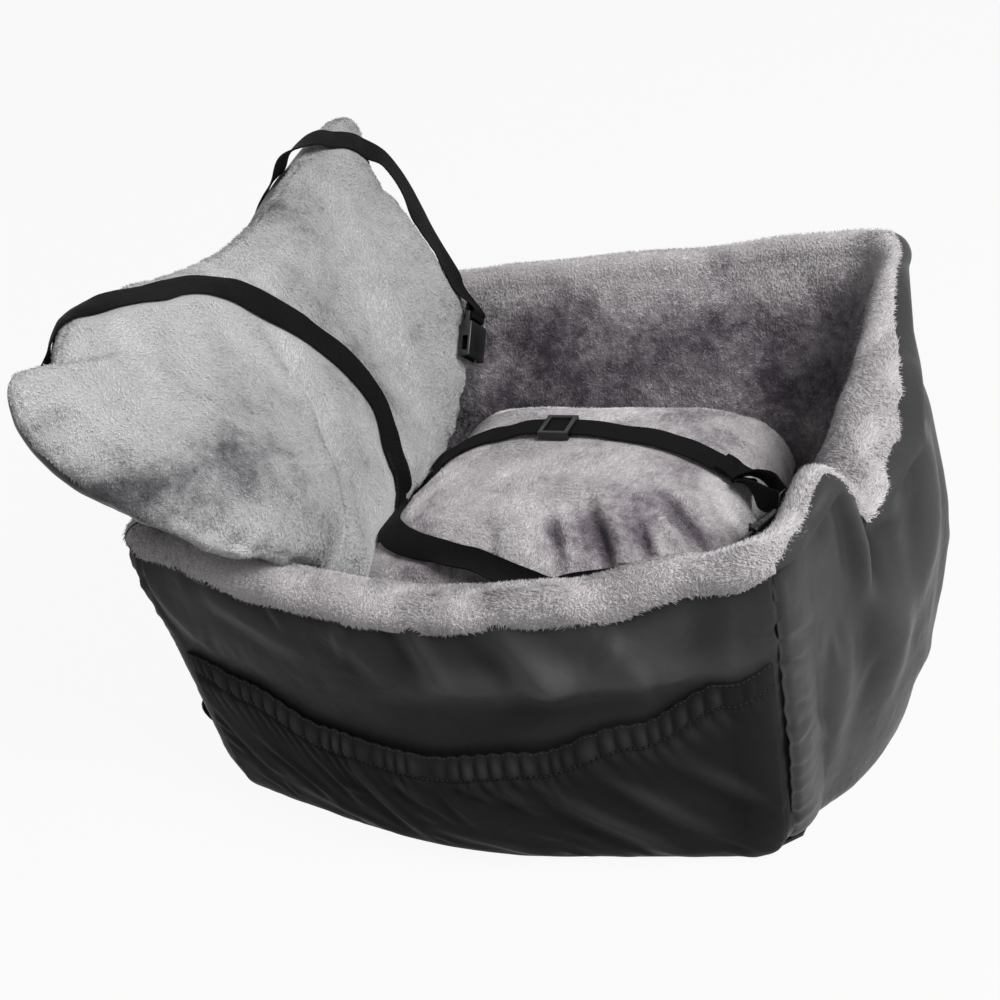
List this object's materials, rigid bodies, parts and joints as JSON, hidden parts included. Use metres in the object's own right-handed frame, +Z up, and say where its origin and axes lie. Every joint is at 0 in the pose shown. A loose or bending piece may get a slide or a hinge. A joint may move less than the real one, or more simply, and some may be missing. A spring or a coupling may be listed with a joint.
{
  "type": "dog car seat",
  "caption": "Padded tub seat that holds a small dog on a car seat: plush lining, boxed cushion, folding backrest, buckled straps and a clip-on tether.",
  "frame": {"origin": "centre of the tub's flat underside", "axes": "+Z up out of the underside, +X from the backrest to the front wall, +Y to the side away from the outside pocket"},
  "size_m": [0.645, 0.588, 0.4953],
  "materials": {
    "base_board": "stiff board under the woven cover",
    "foam": "matt soft filling",
    "nylon": "coated woven fabric with a satin sheen",
    "tub_plush": "short mottled plush pile",
    "cushion_plush": "short mottled plush pile",
    "back_plush": "short mottled plush pile",
    "elastic": "knitted elastic",
    "webbing": "ribbed woven webbing",
    "buckle_plastic": "moulded, slightly shiny",
    "slider_plastic": "moulded, finely textured",
    "hook_metal": "glossy black plating",
    "spring_steel": "bright drawn wire"
  },
  "bodies": {
    "tub": {"base_panel": "base_board", "base_filling": "foam", "floor_liner": "tub_plush", "shell_near": "nylon", "filling_near": "foam", "liner_near": "tub_plush", "shell_front": "nylon", "filling_front": "foam", "liner_front": "tub_plush", "shell_far": "nylon", "filling_far": "foam", "liner_far": "tub_plush", "shell_rear": "nylon", "filling_rear": "foam", "liner_rear": "tub_plush", "pocket_panel": "nylon", "pocket_hem": "nylon", "pocket_elastic": "elastic", "rear_bolster": "nylon", "rear_loop_near": "webbing", "rear_loop_far": "webbing"},
    "backrest": {"backrest_front_cover": "back_plush", "backrest_back_cover": "nylon", "backrest_filling": "foam", "near_strap": "webbing", "far_strap": "webbing", "buckle_socket": "buckle_plastic"},
    "seat_cushion": {"cushion_top_cover": "cushion_plush", "cushion_bottom_cover": "nylon", "cushion_filling": "foam", "near_strap_tail": "webbing", "buckle_plug": "buckle_plastic", "tether_webbing": "webbing", "tether_loop": "webbing", "swivel_eye": "hook_metal"},
    "slide_adjuster": {"tether_slider": "slider_plastic"},
    "snap_hook": {"hook_body": "hook_metal", "hook_spring": "spring_steel"},
    "bolt": {"hook_bolt": "hook_metal"}
  },
  "joints": [
    {"name": "backrest_fold", "type": "hinge", "parent": "tub", "child": "backrest", "pos_m": [-0.116, 0, 0.206], "axis": [0, -1, 0], "range_deg": [-16, 0]},
    {"name": "cushion_lift", "type": "slide", "parent": "tub", "child": "seat_cushion", "axis": [0.2419, 0, 0.9703], "range_m": [0, 0.06]},
    {"name": "slider_travel", "type": "slide", "parent": "seat_cushion", "child": "slide_adjuster", "axis": [0.9999, 0, 0.0157], "range_m": [-0.012, 0.012]},
    {"name": "hook_swivel", "type": "hinge", "parent": "seat_cushion", "child": "snap_hook", "pos_m": [0.2362, -0.0215, 0.2448], "axis": [-0.4226, -0.9063, 0], "continuous": true},
    {"name": "bolt_slide", "type": "slide", "parent": "snap_hook", "child": "bolt", "axis": [0.4226, 0.9063, 0], "range_m": [0, 0.0085], "stiffness_N_per_m": 400, "springref_m": -0.004, "deforming": ["hook_spring"]}
  ]
}
